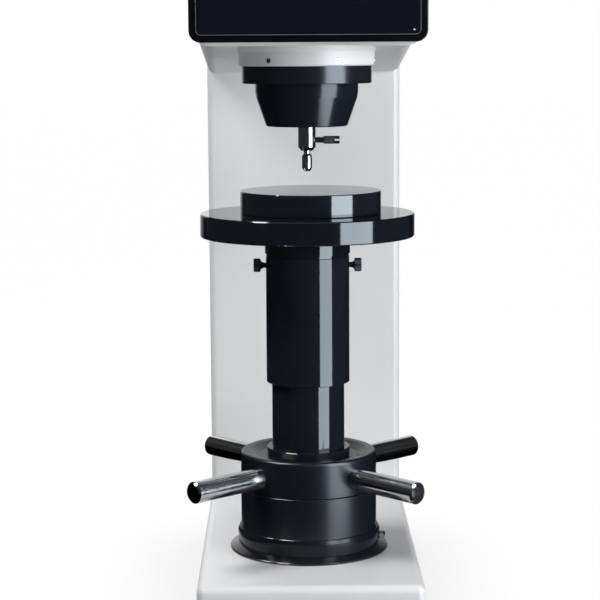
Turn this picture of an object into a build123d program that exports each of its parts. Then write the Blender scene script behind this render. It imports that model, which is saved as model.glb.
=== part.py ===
from build123d import *
import math
import os

# Bench hardness tester with a large throat: a C-shaped cast frame, an elevating screw with a
# round test table, and a screw-driven load train in the head.
# Millimetres. The layout has the spindle's axis on Z, -Y to the operator and z = 0 on the bench.

# ---- driving dimensions: frame ----
body_width = 203.0        # base, column and head are equally wide
front_reach = 140.0       # spindle axis to the front faces of base and display
throat = 236.0            # spindle axis to the column's front face
column_depth = 210.0
foot_height = 20.0        # bench to the underside of the base
base_height = 90.0
head_clearance = 472.5    # base top to the head's underside
head_height = 207.5       # the head's underside to its open top
haunch_start = -28.0      # y where the head's underside begins to slope down
haunch_drop = 27.0        # how far it has dropped at the column
haunch_edge = 10.0        # rounding of the lower side edges at the column
body_edge = 7.0           # rounding of base and column edges
head_edge = 18.0          # rounding of the lower side edges at the front
base_wall = 14.0
column_wall = 14.0
head_wall = 8.0
head_floor = 10.0
base_rib = 10.0
top_cover_height = 10.0

# ---- driving dimensions: elevating screw and test table ----
screw_radius = 25.0
screw_below = 45.0        # how far the screw reaches below the base top
keyway_width = 8.0
keyway_depth = 3.8
housing_radius = 64.2
housing_height = 59.1
housing_floor = 14.0
housing_wall = 12.0
housing_bore = 30.0
hub_gap = 0.4
hub_radius = 64.1
hub_height = 34.1
hub_dish_radius = 55.5
hub_dish_depth = 4.6
rod_radius = 10.0
rod_reach = 143.0         # spindle axis to a rod's tip
rod_socket = 40.0         # spindle axis to the bottom of a rod's socket
rod_level = 75.0          # above the base top
rod_count = 4
rod_first = 42.5          # degrees, from +X
rod_angles = [rod_first + turn * 360 / rod_count for turn in range(rod_count)]
nut_radius = 34.0
nut_flange = 48.0
roller_radius = 4.0
roller_length = 10.0
roller_circle = 42.0
roller_count = 12
washer_height = 6.0
washer_width = 14.0
tube_radius = 34.2
tube_wall = 4.0
tube_height = 109.0
collar_height = 8.0
sleeve_radius = 39.2
sleeve_height = 119.5
table_radius = 100.0
table_level = 318.5       # top of the table above the base top, as shown
table_height = 21.4
table_neck_radius = 40.0
table_neck_height = 16.1
neck_groove = 2.2
spigot_radius = 35.6
spigot_height = 20.8
anvil_radius = 65.8
anvil_height = 20.9
anvil_shank_length = 22.5
anvil_bore = 12.75        # radius of the hole for its shank
anvil_shift = 3.2         # the shank's play, by which the anvil stands to the right

# ---- driving dimensions: nose, spindle and indenter ----
boss_height = 18.1
boss_radius = 62.6
boss_flare = 2.6
nose_ring_radius = 60.2
nose_ring_height = 16.0
nose_spigot_radius = 45.0
nose_spigot_height = 11.6
nose_bore = 30.0
cup_radius = 47.9
cup_tip_radius = 38.0
cup_height = 39.3
cup_straight = 12.5       # the cylindrical part below the ring
cup_wall = 7.0
cup_floor = 9.0
spindle_radius = 8.25
spindle_below = 22.9      # how far the spindle shows below the cup
spindle_flange_radius = 20.0
indenter_radius = 4.75
indenter_shank = 3.175
indenter_below = 19.0     # spindle's end to the indenter's tip
indenter_tip_radius = 3.0
indenter_ball = 0.794
indenter_screw_drop = 9.8   # spindle's end up to the clamping screw's axis
indenter_screw_reach = 30.3

# ---- driving dimensions: load train ----
load_cell_level = 506.0   # above the base top
load_cell_radius = 36.0
load_cell_height = 32.0
crosshead_end = 16.0      # a guide post's axis to the crosshead's end
crosshead_depth = 56.0
crosshead_height = 24.0
guide_spacing = 124.0
guide_radius = 8.0
guide_bush_radius = 12.0
ball_screw_radius = 8.0
plate_level = 620.0       # underside of the bearing plate above the base top
plate_height = 14.0
plate_front = -45.0
plate_rear = 140.0
motor_offset = 100.0      # spindle axis to the motor's shaft
motor_radius = 30.0
motor_height = 78.0
large_teeth = 44
small_teeth = 18
belt_pitch = 5.0
belt_width = 12.0
belt_thickness = 2.0

# ---- driving dimensions: display, rear and small parts ----
bezel_depth = 12.0
bezel_lip = 3.0           # underside of the head to the bezel's lower edge
bezel_rise = 4.0          # open top of the head to the bezel's upper edge
bezel_corner = 10.0
bezel_border = 6.5
glass_height = 2.6
cover_height = 2.0
cover_overlap = 6.5
screw_head_radius = 3.6
screw_head_height = 2.4
slot_count = 9
slot_width = 90.0
slot_height = 4.0
slot_pitch = 12.0

# ---- clearances ----
running = 0.1             # radial, a part that turns or slides in another
seat = 0.05               # radial, a part that is fixed in another
free = 0.3                # between faces that pass each other

# ---- levels and places that follow ----
base_top = foot_height + base_height
underside = base_top + head_clearance
head_top = underside + head_height
column_top = underside - haunch_drop
column_rear = throat + column_depth
half = body_width / 2
rear_face = column_rear + cover_height + screw_head_height
footprint_middle = (rear_face - front_reach) / 2
head_front = bezel_depth - front_reach
boss_bottom = underside - boss_height
cup_top = boss_bottom - nose_ring_height
cup_bottom = cup_top - cup_height
spindle_end = cup_bottom - spindle_below
load_cell_bottom = base_top + load_cell_level
crosshead_width = guide_spacing + 2 * crosshead_end
crosshead_bottom = load_cell_bottom + load_cell_height
crosshead_top = crosshead_bottom + crosshead_height
plate_bottom = base_top + plate_level
plate_top = plate_bottom + plate_height
hub_bottom = base_top + housing_height + hub_gap
hub_top = hub_bottom + hub_height
hub_dish = hub_top - hub_dish_depth
table_top = base_top + table_level
table_bottom = table_top - table_height
neck_bottom = table_bottom - table_neck_height
sleeve_top = neck_bottom - neck_groove
spigot_bottom = sleeve_top - spigot_height
large_pulley_radius = large_teeth * belt_pitch / (2 * math.pi)
small_pulley_radius = small_teeth * belt_pitch / (2 * math.pi)

UP = (Align.CENTER, Align.CENTER, Align.MIN)
CORNER = (Align.MIN, Align.MIN, Align.MIN)


def upright(radius, low, high, x=0.0, y=0.0):
    """Cylinder with an upright axis between two levels."""
    return Pos(x, y, low) * Cylinder(radius, high - low, align=UP)


def block(x, y, z):
    """Box between a pair of coordinates on each axis."""
    size = [pair[1] - pair[0] for pair in (x, y, z)]
    return Pos(x[0], y[0], z[0]) * Box(*size, align=CORNER)


def turned(*outline):
    """Solid turned about Z from (radius, level) points, or from lines that close up."""
    lines = [Polyline(*outline, close=True)] if isinstance(outline[0], tuple) else list(outline)
    return revolve(Plane.XZ * make_face(Curve() + lines), Axis.Z)


def radial(radius, start, end, level, angle):
    """Cylinder lying on a ray from the spindle's axis."""
    return Pos(0, 0, level) * Rot(0, 0, angle) * Rot(0, 90, 0) * upright(radius, start, end)


def at_corners(x, y):
    """The four places (+-x, y) for a pair of y values."""
    return [(side * x, place) for side in (-1, 1) for place in y]


def hexagon(across, low, high, x=0.0, y=0.0):
    """Upright hexagonal prism."""
    return Pos(x, y, low) * extrude(RegularPolygon(across / 2, 6, major_radius=False), high - low)


def save(name, *pieces):
    """Write one node, with the origin in the middle of the footprint."""
    placed = [Pos(0, -footprint_middle, 0) * piece for piece in pieces]
    solids = [solid for piece in placed for solid in piece.solids()]
    export_step(placed[0] if len(solids) == 1 else Compound(solids), f"parts/{name}.step")


os.makedirs("parts", exist_ok=True)

# ---- base with its levelling feet ----
foot_inset = 26.0
foot_stud_radius = 6.0
foot_pad_radius = 21.0
foot_pad_height = 11.0
foot_pad_rim = 4.0
foot_stud_length = 34.0
lock_nut_across = 18.0
lock_nut_height = 7.0
foot_boss_radius = 18.0
foot_x = half - foot_inset
foot_rows = (foot_inset - front_reach, column_rear - foot_inset)
guide_radius_outer = 36.0
guide_flange_radius = 46.0
guide_flange_height = 6.0
guide_length = 50.0
guide_boss_radius = 52.0
guide_boss_height = 58.0
bolt_radius = 6.0
bolt_across = 18.0
bolt_head_height = 8.0
bolt_inset = 28.0
bolt_x = 45.0
bolt_rows = (throat + bolt_inset, column_rear - bolt_inset)
head_pocket_floor = 12.0


def base_casting():
    """Cast base, open below, with rounded front edges and bosses for screw and feet."""
    front = block((-half, half), (-front_reach, throat), (foot_height, base_top))
    corners = front.edges().filter_by(Axis.Z).group_by(Axis.Y)[0]
    rim = front.faces().sort_by(Axis.Z)[-1].edges().sort_by(Axis.Y)[:-1]
    front = fillet(corners + rim, body_edge)
    rear = block((-half, half), (throat, column_rear), (foot_height, base_top))
    rear = fillet(rear.edges().filter_by(Axis.Z).group_by(Axis.Y)[-1], body_edge)
    inside = half - base_wall
    ends = (base_wall - front_reach, column_rear - base_wall)
    roof = base_top - base_wall
    casting = front + rear - block((-inside, inside), ends, (foot_height, roof))
    casting += upright(guide_boss_radius, base_top - guide_boss_height, roof)
    for y in (0, throat / 2, throat):
        casting += block((-inside, inside), (y - base_rib / 2, y + base_rib / 2),
                         (roof - 2 * base_rib, roof))
    stud_top = foot_height + foot_stud_length
    for x, y in at_corners(foot_x, foot_rows):
        casting += upright(foot_boss_radius, foot_height, roof, x, y)
        casting -= upright(foot_stud_radius + running, foot_height, stud_top, x, y)
    for x, y in at_corners(bolt_x, bolt_rows):
        casting -= upright(bolt_radius + seat, roof, base_top, x, y)
    casting -= upright(guide_radius_outer + seat, foot_height, base_top)
    casting -= upright(guide_flange_radius + seat, base_top - guide_flange_height, base_top)
    return casting


def foot(x, y):
    """Levelling foot: a steel pad with its stud, standing on the bench."""
    stud_top = foot_pad_height + foot_stud_length
    pad = turned((0, 0), (foot_pad_radius, 0), (foot_pad_radius, foot_pad_rim),
                 (2 * foot_stud_radius, foot_pad_height), (foot_stud_radius, foot_pad_height),
                 (foot_stud_radius, stud_top), (0, stud_top))
    return Pos(x, y, 0) * pad


def lock_nut(x, y):
    """Hexagon nut that locks a foot's stud against the base."""
    nut = hexagon(lock_nut_across, foot_height - lock_nut_height, foot_height, x, y)
    return nut - upright(foot_stud_radius + running, 0, foot_height, x, y)


def frame_bolt(seat_level, x, y):
    """Hexagon bolt standing on a casting's floor."""
    shank = upright(bolt_radius, seat_level - base_wall - head_pocket_floor, seat_level, x, y)
    return shank + hexagon(bolt_across, seat_level, seat_level + bolt_head_height, x, y)


# ---- column ----
opening_half = half - column_wall
cover_half = opening_half + cover_overlap
cover_low = base_top + column_wall - cover_overlap
cover_high = column_top - column_wall + cover_overlap
cover_screw_radius = 2.0
cover_screw_length = 10.0
cover_screw_x = opening_half + cover_overlap / 2
cover_screw_rows = 3
cover_screw_low = cover_low + 2 * cover_overlap
cover_screw_pitch = (cover_high - cover_low - 4 * cover_overlap) / (cover_screw_rows - 1)
cover_screw_levels = [cover_screw_low + row * cover_screw_pitch for row in range(cover_screw_rows)]


def lying(radius, x, y, z):
    """Cylinder along Y between a pair of y values."""
    return Pos(x, y[0], z) * Rot(-90, 0, 0) * Cylinder(radius, y[1] - y[0], align=UP)


def column_casting():
    """Cast column, open to the rear, bolted to base and head."""
    column = block((-half, half), (throat, column_rear), (base_top, column_top))
    column = fillet(column.edges().filter_by(Axis.Z), body_edge)
    column -= block((-opening_half, opening_half), (throat + column_wall, column_rear),
                    (base_top + column_wall, column_top - column_wall))
    for x, y in at_corners(bolt_x, bolt_rows):
        column -= upright(bolt_radius + seat, base_top, column_top, x, y)
    depth = (column_rear - cover_screw_length, column_rear)
    for x in (-cover_screw_x, cover_screw_x):
        for z in cover_screw_levels:
            column -= lying(cover_screw_radius + seat, x, depth, z)
    return column


# ---- rear cover with the mains inlet ----
inlet_inset = 46.0        # rear cover's end to the inlet's middle
inlet_x = inlet_inset - cover_half
inlet_rise = 75.0         # base top to the inlet's middle
inlet_level = base_top + inlet_rise
inlet_width = 50.0
inlet_height = 68.0
inlet_flange = 1.8
inlet_body_width = 46.0
inlet_body_height = 62.0
inlet_depth = 30.0
recess_width = 26.0
recess_height = 18.0
recess_depth = 17.0
recess_drop = 16.0        # inlet's middle to the socket's middle
recess_level = inlet_level - recess_drop
pin_depth = 11.0
pin_pitch = 7.0
pin_half = 1.0
pin_half_height = 2.0
switch_rise = 15.0        # inlet's middle to the switch's axle
switch_level = inlet_level + switch_rise
switch_half = 11.0
switch_play = 1.5         # rocker to its window, above and below
switch_width = 18.0
switch_edge = 4.0         # how much shorter the rocker is inside the window
switch_depth = 5.0
switch_bow = 1.2          # hollow of the rocker's face
switch_axle = 1.3
switch_pivot = 1.5        # how far the axle reaches into the inlet on each side
switch_tilt = 8.0
switch_inset = 0.6        # cover's face to the switch's axle
outer_face = column_rear + cover_height
switch_axis_y = outer_face - switch_inset
slot_drop = 60.0          # column top to the uppermost slot
slot_low = column_top - slot_drop


def rear_cover():
    """Sheet cover of the column with cooling slots and a cut-out for the inlet."""
    cover = block((-cover_half, cover_half), (column_rear, outer_face), (cover_low, cover_high))
    for row in range(slot_count):
        z = slot_low - row * slot_pitch
        cover -= block((-slot_width / 2, slot_width / 2), (column_rear, outer_face), (z, z + slot_height))
    for x in (-cover_screw_x, cover_screw_x):
        for z in cover_screw_levels:
            cover -= lying(cover_screw_radius + seat, x, (column_rear, outer_face), z)
    x = (inlet_x - inlet_body_width / 2 - seat, inlet_x + inlet_body_width / 2 + seat)
    z = (inlet_level - inlet_body_height / 2 - seat, inlet_level + inlet_body_height / 2 + seat)
    return cover - block(x, (column_rear, outer_face), z)


def rear_cover_screw(x, z):
    """Pan head screw of the rear cover."""
    shank = lying(cover_screw_radius, x, (column_rear - cover_screw_length, outer_face), z)
    return shank + lying(screw_head_radius, x, (outer_face, rear_face), z)


def window(x, width, z, height, y):
    """Box about a point of the rear, between a pair of y values."""
    return block((x - width / 2, x + width / 2), y, (z - height / 2, z + height / 2))


def power_inlet():
    """Mains inlet with a recessed socket, three pins and the window of its switch."""
    mouth = outer_face + inlet_flange
    recess_floor = mouth - recess_depth
    flange = window(inlet_x, inlet_width, inlet_level, inlet_height, (outer_face, mouth))
    body = window(inlet_x, inlet_body_width, inlet_level, inlet_body_height,
                  (outer_face - inlet_depth, outer_face))
    inlet = flange + body
    inlet -= window(inlet_x, recess_width, recess_level, recess_height, (recess_floor, mouth))
    inlet -= window(inlet_x, switch_width + 2 * free, switch_level, 2 * (switch_half + switch_play),
                    (recess_floor, mouth))
    pin = (recess_floor, recess_floor + pin_depth)
    for x, z in ((-pin_pitch, -pin_half_height), (0, pin_half_height), (pin_pitch, -pin_half_height)):
        inlet += window(inlet_x + x, 2 * pin_half, recess_level + z, 2 * pin_half_height, pin)
    reach = switch_width / 2 + switch_pivot + running
    axle = Pos(inlet_x - reach, switch_axis_y, switch_level) * Rot(0, 90, 0)
    return inlet - axle * Cylinder(switch_axle + running, 2 * reach, align=UP)


def power_switch():
    """Rocker of the mains switch on its axle, tilted to off."""
    inner = switch_half - switch_edge
    rim = switch_bow - switch_inset / 3
    face = Polyline((-switch_depth, -inner), (0, -switch_half), (rim, -switch_half), (rim - switch_bow, 0),
                    (rim, switch_half), (0, switch_half), (-switch_depth, inner), close=True)
    rocker = Pos(-switch_width / 2, 0, 0) * extrude(Plane.YZ * make_face(face), switch_width)
    reach = switch_width / 2 + switch_pivot
    rocker += Pos(-reach, 0, 0) * Rot(0, 90, 0) * Cylinder(switch_axle, 2 * reach, align=UP)
    return Pos(inlet_x, switch_axis_y, switch_level) * Rot(-switch_tilt, 0, 0) * rocker


# ---- head ----
set_screw_radius = 2.5
set_screw_rise = 5.2      # boss's lower face to the set screws
set_screw_level = boss_bottom + set_screw_rise
set_screw_count = 6
set_screw_first = -123.5      # degrees, from +X
set_screw_proud = 0.4
boss_rounding = 1.5
boss_draft = 0.4
ledge_width = 10.0
ledge_height = 16.0
post_seat = 6.0
lid_lip = 3.0
lid_lip_depth = 12.0
lid_pocket = 6.0
lid_screw_radius = 2.0
lid_screw_level = head_top - lid_lip_depth / 2
lid_screw_margin = 40.0
lid_screw_rows = 3
lid_screw_pitch = (column_rear - head_front - 2 * lid_screw_margin) / (lid_screw_rows - 1)
lid_screw_places = [head_front + lid_screw_margin + row * lid_screw_pitch for row in range(lid_screw_rows)]
inside_half = half - head_wall
set_screw_angles = [set_screw_first + turn * 360 / set_screw_count for turn in range(set_screw_count)]


def lid_screw(side, y):
    """Pan head screw through the head's side wall into the lid's lip."""
    length = head_wall + lid_lip
    screw = upright(lid_screw_radius, 0, length)
    screw += upright(screw_head_radius, length, length + screw_head_height)
    return Pos(side * (inside_half - lid_lip), y, lid_screw_level) * Rot(0, side * 90, 0) * screw


def lid_screw_hole(side, y):
    """Hole for a lid screw through wall and lip."""
    hole = Cylinder(lid_screw_radius + seat, head_wall + lid_lip, align=UP)
    return Pos(side * (inside_half - lid_lip), y, lid_screw_level) * Rot(0, side * 90, 0) * hole


def boss():
    """Round boss below the head, slightly tapered, flared where it joins."""
    outer = boss_radius + boss_flare
    knee = (boss_radius + boss_draft, underside - 2 * boss_flare)
    rim = (boss_radius - boss_rounding, boss_bottom)
    side = (boss_radius, boss_bottom + boss_rounding)
    floor = underside + head_floor
    return turned(
        Line((0, boss_bottom), rim),
        RadiusArc(rim, side, -boss_rounding),
        Polyline(side, knee, (outer, underside), (outer, floor), (0, floor), (0, boss_bottom)),
    )


def head_section(y, bottom, rounding):
    """Cross-section of the head at one depth, rounded at its lower corners."""
    outline = Polyline((-half, head_top), (-half, bottom), (half, bottom), (half, head_top), close=True)
    section = Plane.XZ.offset(-y) * make_face(outline)
    return fillet(section.vertices().group_by(Axis.Z)[0], rounding)


def head_body():
    """Outside of the head: straight at the front, lofted down to the column, then as wide as it."""
    stations = ((head_front, underside, head_edge), (haunch_start, underside, head_edge),
                (throat, column_top, haunch_edge), (throat + body_edge, column_top, haunch_edge))
    arm = loft([head_section(*station) for station in stations], ruled=True)
    rear = block((-half, half), (throat, column_rear), (column_top, head_top))
    return arm + fillet(rear.edges().filter_by(Axis.Z), body_edge)


def head_casting():
    """Cast head: a box open to front and top, with its haunch and the nose boss."""
    head = head_body()
    floor = underside + head_floor
    head -= block((-inside_half, inside_half), (head_front, column_rear - head_wall), (floor, head_top))
    head -= block((-opening_half, opening_half), (throat + column_wall, column_rear - head_wall),
                  (column_top + head_pocket_floor, floor))
    head += boss()
    head -= upright(nose_spigot_radius + seat, boss_bottom, boss_bottom + nose_spigot_height + free)
    head -= upright(nose_bore, boss_bottom, floor)
    reach = boss_radius + boss_flare
    for angle in set_screw_angles:
        head -= radial(set_screw_radius + seat, nose_spigot_radius, reach, set_screw_level, angle)
    for side in (-1, 1):
        edges = sorted((side * (inside_half - ledge_width), side * inside_half))
        head += block(edges, (plate_front, plate_rear), (plate_bottom - ledge_height, plate_bottom))
        head -= upright(guide_radius + seat, floor - post_seat, floor, side * guide_spacing / 2)
        for y in lid_screw_places:
            head -= lid_screw_hole(side, y)
    for x, y in at_corners(bolt_x, bolt_rows):
        head -= upright(bolt_radius + seat, column_top, floor, x, y)
    return head


def head_top_cover():
    """Lid of the head, hollow below, with a lip inside each side wall."""
    lid = block((-half, half), (head_front, column_rear), (head_top, head_top + top_cover_height))
    lid = fillet(lid.edges().filter_by(Axis.Z).group_by(Axis.Y)[-1], body_edge)
    lid = fillet(lid.faces().sort_by(Axis.Z)[-1].edges(), body_edge)
    inner = inside_half - lid_lip - seat
    lid -= block((-inner, inner), (head_front + head_wall, column_rear - 2 * head_wall),
                 (head_top, head_top + lid_pocket))
    for side in (-1, 1):
        edges = sorted((side * inner, side * (inside_half - seat)))
        lid += block(edges, (head_front + 2 * head_wall, column_rear - 2 * head_wall),
                     (head_top - lid_lip_depth, head_top + lid_pocket))
        for y in lid_screw_places:
            lid -= lid_screw_hole(side, y)
    return lid


# ---- display ----
glass_gap = 0.4
light_radius = 0.8
light_inset = 11.9
light_height = 10.2
bezel_low = underside + bezel_lip
bezel_height = head_top + bezel_rise - bezel_low
glass_half = half - bezel_border
glass_corner = bezel_corner - bezel_border
light_x = half - light_inset
light_z = bezel_low + light_height


def plaque(width, height, corner, y, low):
    """Upright plate with rounded corners between a pair of y values."""
    outline = RectangleRounded(width, height, corner)
    return Pos(0, y[1], low + height / 2) * extrude(Plane.XZ * outline, y[1] - y[0])


def display_bezel():
    """Moulded display housing with a shallow recess for the glass."""
    bezel = plaque(body_width, bezel_height, bezel_corner, (-front_reach, head_front), bezel_low)
    bezel = fillet(bezel.faces().sort_by(Axis.Y)[0].edges(), 1.0)
    width = 2 * (glass_half + glass_gap)
    height = bezel_height - 2 * (bezel_border - glass_gap)
    depth = (-front_reach, glass_height - front_reach)
    low = bezel_low + bezel_border - glass_gap
    return bezel - plaque(width, height, glass_corner + glass_gap, depth, low)


def display_glass():
    """Touch glass with a hole for the status light."""
    glass = plaque(2 * glass_half, bezel_height - 2 * bezel_border, glass_corner,
                   (-front_reach, glass_height - front_reach), bezel_low + bezel_border)
    return glass - lying(light_radius + seat, light_x, (-front_reach, glass_height - front_reach), light_z)


def status_light():
    """Small light pipe in the glass."""
    return lying(light_radius, light_x, (-front_reach, glass_height - front_reach), light_z)


# ---- nose ----
bush_radius = 14.0
bush_flange_radius = 18.0
bush_flange_height = 3.0
bush_height = 28.0
nose_chamfer = 0.6
cup_chamfer = 0.8
cup_taper = 0.7           # how much narrower the cup is where its cone begins
cup_crease = cup_top - cup_straight
cup_knee = cup_crease + 5.0
crease_radius = cup_radius - cup_taper


def nose_ring():
    """Blackened ring with a spigot that the set screws hold in the boss."""
    spigot_top = boss_bottom + nose_spigot_height
    edge = nose_ring_radius - nose_chamfer
    return turned((nose_bore, cup_top), (edge, cup_top), (nose_ring_radius, cup_top + nose_chamfer),
                  (nose_ring_radius, boss_bottom), (nose_spigot_radius, boss_bottom),
                  (nose_spigot_radius, spigot_top), (nose_bore, spigot_top))


def nose_set_screw(angle):
    """Set screw from the boss's side to the ring's spigot."""
    end = boss_radius + set_screw_proud
    return radial(set_screw_radius, nose_spigot_radius, end, set_screw_level, angle)


def nose_cup():
    """Protecting cup below the ring, conical towards the spindle."""
    floor = cup_bottom + cup_floor
    bore = bush_radius + seat
    tip = cup_tip_radius - cup_chamfer
    return turned((bore, cup_bottom), (tip, cup_bottom), (cup_tip_radius, cup_bottom + cup_chamfer),
                  (crease_radius, cup_crease), (cup_radius, cup_knee), (cup_radius, cup_top),
                  (cup_radius - cup_wall, cup_top), (crease_radius - cup_wall, cup_crease),
                  (cup_tip_radius - cup_wall, floor), (bore, floor))


def spindle_bush():
    """Flanged guide bush of the spindle in the cup's floor."""
    floor = cup_bottom + cup_floor
    bore = spindle_radius + running
    return turned((bore, cup_bottom + seat), (bush_radius, cup_bottom + seat), (bush_radius, floor),
                  (bush_flange_radius, floor), (bush_flange_radius, floor + bush_flange_height),
                  (bush_radius, floor + bush_flange_height), (bush_radius, cup_bottom + bush_height),
                  (bore, cup_bottom + bush_height))


# ---- spindle and indenter ----
spindle_chamfer = 3.3
spindle_tip_radius = 5.6
shank_depth = 22.0
spindle_flange_height = 8.0
clamp_radius = 1.9
clamp_level = spindle_end + indenter_screw_drop
clamp_neck_radius = 2.8
clamp_neck_end = 15.8
clamp_head_radius = 3.67
clamp_slot_depth = 4.6
clamp_slot_width = 1.6
clamp_chamfer = 0.5
indenter_tip = spindle_end - indenter_below
indenter_chamfer = 2.8
indenter_body = 14.0
indenter_neck = 16.5
ball_rise = 0.3           # indenter's tip to the ball's middle
ball_level = indenter_tip + ball_rise


def spindle():
    """Chromed spindle, bored for the indenter's shank, with a flange below the load cell."""
    bore = indenter_shank + seat
    flange = load_cell_bottom - spindle_flange_height
    body = turned((bore, spindle_end), (spindle_tip_radius, spindle_end),
                  (spindle_radius, spindle_end + spindle_chamfer), (spindle_radius, flange),
                  (spindle_flange_radius, flange), (spindle_flange_radius, load_cell_bottom),
                  (0, load_cell_bottom), (0, spindle_end + shank_depth), (bore, spindle_end + shank_depth))
    return body - radial(clamp_radius + running, 0, spindle_radius, clamp_level, 0)


def indenter():
    """Ball indenter: a shouldered steel body with a conical end."""
    top = spindle_end + shank_depth - 1
    shoulder = indenter_tip + indenter_body
    body = turned((0, indenter_tip), (indenter_tip_radius, indenter_tip),
                  (indenter_radius, indenter_tip + indenter_chamfer), (indenter_radius, shoulder),
                  (indenter_shank, indenter_tip + indenter_neck), (indenter_shank, top), (0, top))
    return body - Pos(0, 0, ball_level) * Sphere(indenter_ball)


def indenter_screw():
    """Slotted knurled screw that clamps the indenter's shank."""
    start = indenter_shank + running
    screw = radial(clamp_radius, start, spindle_radius + free, clamp_level, 0)
    screw += radial(clamp_neck_radius, spindle_radius + free, clamp_neck_end, clamp_level, 0)
    head = radial(clamp_head_radius, clamp_neck_end, indenter_screw_reach, clamp_level, 0)
    screw += chamfer(head.edges().filter_by(GeomType.CIRCLE), clamp_chamfer)
    return screw - block((indenter_screw_reach - clamp_slot_depth, indenter_screw_reach),
                         (-clamp_head_radius, clamp_head_radius),
                         (clamp_level - clamp_slot_width / 2, clamp_level + clamp_slot_width / 2))


# ---- load train ----
cell_boss_radius = 15.0
cell_boss_height = 2.0
cell_groove = 6.0
cell_web = 8.0
bush_proud = 5.0
guide_spigot_radius = 6.0
nut_body_radius = 14.0
nut_flange_radius = 24.0
nut_flange_height = 8.0
nut_hub_radius = 16.0
nut_hub_height = 18.0
collar_radius = 12.0
collar_thickness = 10.0
journal_radius = 6.0
bearing_radius = 20.0
pulley_gap = 6.0
pulley_height = 14.0
tooth_depth = 1.6
tooth_gap = 2.4
pulley_flange = 1.5
pulley_flange_height = 1.0
shaft_radius = 4.0
shaft_depth = 26.0
shaft_hole_radius = 12.0
motor_flange = 64.0
motor_flange_height = 8.0
post_x = guide_spacing / 2
pulley_bottom = plate_top + pulley_gap
pulley_top = pulley_bottom + pulley_height


def load_cell():
    """Disc load cell with a waisted rim and a boss on each face."""
    low, high = load_cell_bottom, crosshead_bottom
    rim_low, rim_high = low + cell_boss_height, high - cell_boss_height
    waist_low, waist_high = (low + high - cell_web) / 2, (low + high + cell_web) / 2
    waist = load_cell_radius - cell_groove
    return turned((0, low), (cell_boss_radius, low), (cell_boss_radius, rim_low),
                  (load_cell_radius, rim_low), (load_cell_radius, waist_low), (waist, waist_low),
                  (waist, waist_high), (load_cell_radius, waist_high), (load_cell_radius, rim_high),
                  (cell_boss_radius, rim_high), (cell_boss_radius, high), (0, high))


def crosshead():
    """Crosshead that carries the ball nut and slides on two posts."""
    beam = block((-crosshead_width / 2, crosshead_width / 2), (-crosshead_depth / 2, crosshead_depth / 2),
                 (crosshead_bottom, crosshead_top))
    beam = fillet(beam.edges().filter_by(Axis.Z), 2 * body_edge)
    beam -= upright(nut_body_radius + seat, crosshead_bottom, crosshead_top)
    for x in (-post_x, post_x):
        beam -= upright(guide_bush_radius + seat, crosshead_bottom, crosshead_top, x)
    return beam


def crosshead_bush(x):
    """Plain bush that slides on a post."""
    low, high = crosshead_bottom - bush_proud, crosshead_top + bush_proud
    return upright(guide_bush_radius, low, high, x) - upright(guide_radius + running, low, high, x)


def guide_post(x):
    """Post from the head's floor to the bearing plate."""
    post = upright(guide_radius, underside + head_floor - post_seat, plate_bottom, x)
    return post + upright(guide_spigot_radius, plate_bottom, plate_top, x)


def ball_nut():
    """Flanged nut in the crosshead's bore."""
    flange_top = crosshead_top + nut_flange_height
    nut = upright(nut_body_radius, crosshead_bottom + cell_boss_height, crosshead_top)
    nut += upright(nut_flange_radius, crosshead_top, flange_top)
    nut += upright(nut_hub_radius, flange_top, flange_top + nut_hub_height)
    return nut - upright(ball_screw_radius + running, crosshead_bottom, flange_top + nut_hub_height)


def ball_screw():
    """Ball screw with a thrust collar below its bearing and a journal for the pulley."""
    screw = upright(ball_screw_radius, crosshead_bottom + bush_proud, plate_bottom - free)
    screw += upright(collar_radius, plate_bottom - collar_thickness, plate_bottom - free)
    return screw + upright(journal_radius, plate_bottom - free, pulley_top)


def screw_bearing():
    """Bearing of the ball screw in the plate."""
    bore = upright(journal_radius + running, plate_bottom, plate_top)
    return upright(bearing_radius, plate_bottom, plate_top) - bore


def bearing_plate():
    """Plate on the head's ledges that holds bearing, posts and motor."""
    edge = inside_half - seat
    plate = block((-edge, edge), (plate_front, plate_rear), (plate_bottom, plate_top))
    plate -= upright(bearing_radius + seat, plate_bottom, plate_top)
    plate -= upright(shaft_hole_radius, plate_bottom, plate_top, 0, motor_offset)
    for x in (-post_x, post_x):
        plate -= upright(guide_spigot_radius + seat, plate_bottom, plate_top, x)
    return plate


def toothed_disc(radius, teeth):
    """Flat outline of a timing pulley."""
    gaps = [Rot(0, 0, 360 * tooth / teeth) * Pos(radius, 0) * Rectangle(2 * tooth_depth, tooth_gap)
            for tooth in range(teeth)]
    return Circle(radius) - gaps


def pulley(radius, teeth, bore, y):
    """Timing pulley with a thin flange on each face."""
    disc = Pos(0, 0, pulley_bottom) * extrude(toothed_disc(radius, teeth), pulley_height)
    for low in (pulley_bottom, pulley_top - pulley_flange_height):
        disc += upright(radius + pulley_flange, low, low + pulley_flange_height)
    return Pos(0, y, 0) * (disc - upright(bore + seat, pulley_bottom, pulley_top))


def timing_belt():
    """Belt round both pulleys, running just clear of their teeth."""
    low = (pulley_bottom + pulley_top - belt_width) / 2
    loops = []
    for offset in (running, running + belt_thickness):
        circles = Circle(large_pulley_radius + offset).edges()
        circles += (Pos(0, motor_offset) * Circle(small_pulley_radius + offset)).edges()
        loops.append(make_hull(circles))
    inner, outer = loops
    height = belt_width - 2 * pulley_flange_height
    return Pos(0, 0, low + pulley_flange_height) * extrude(outer - inner, height)


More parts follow.
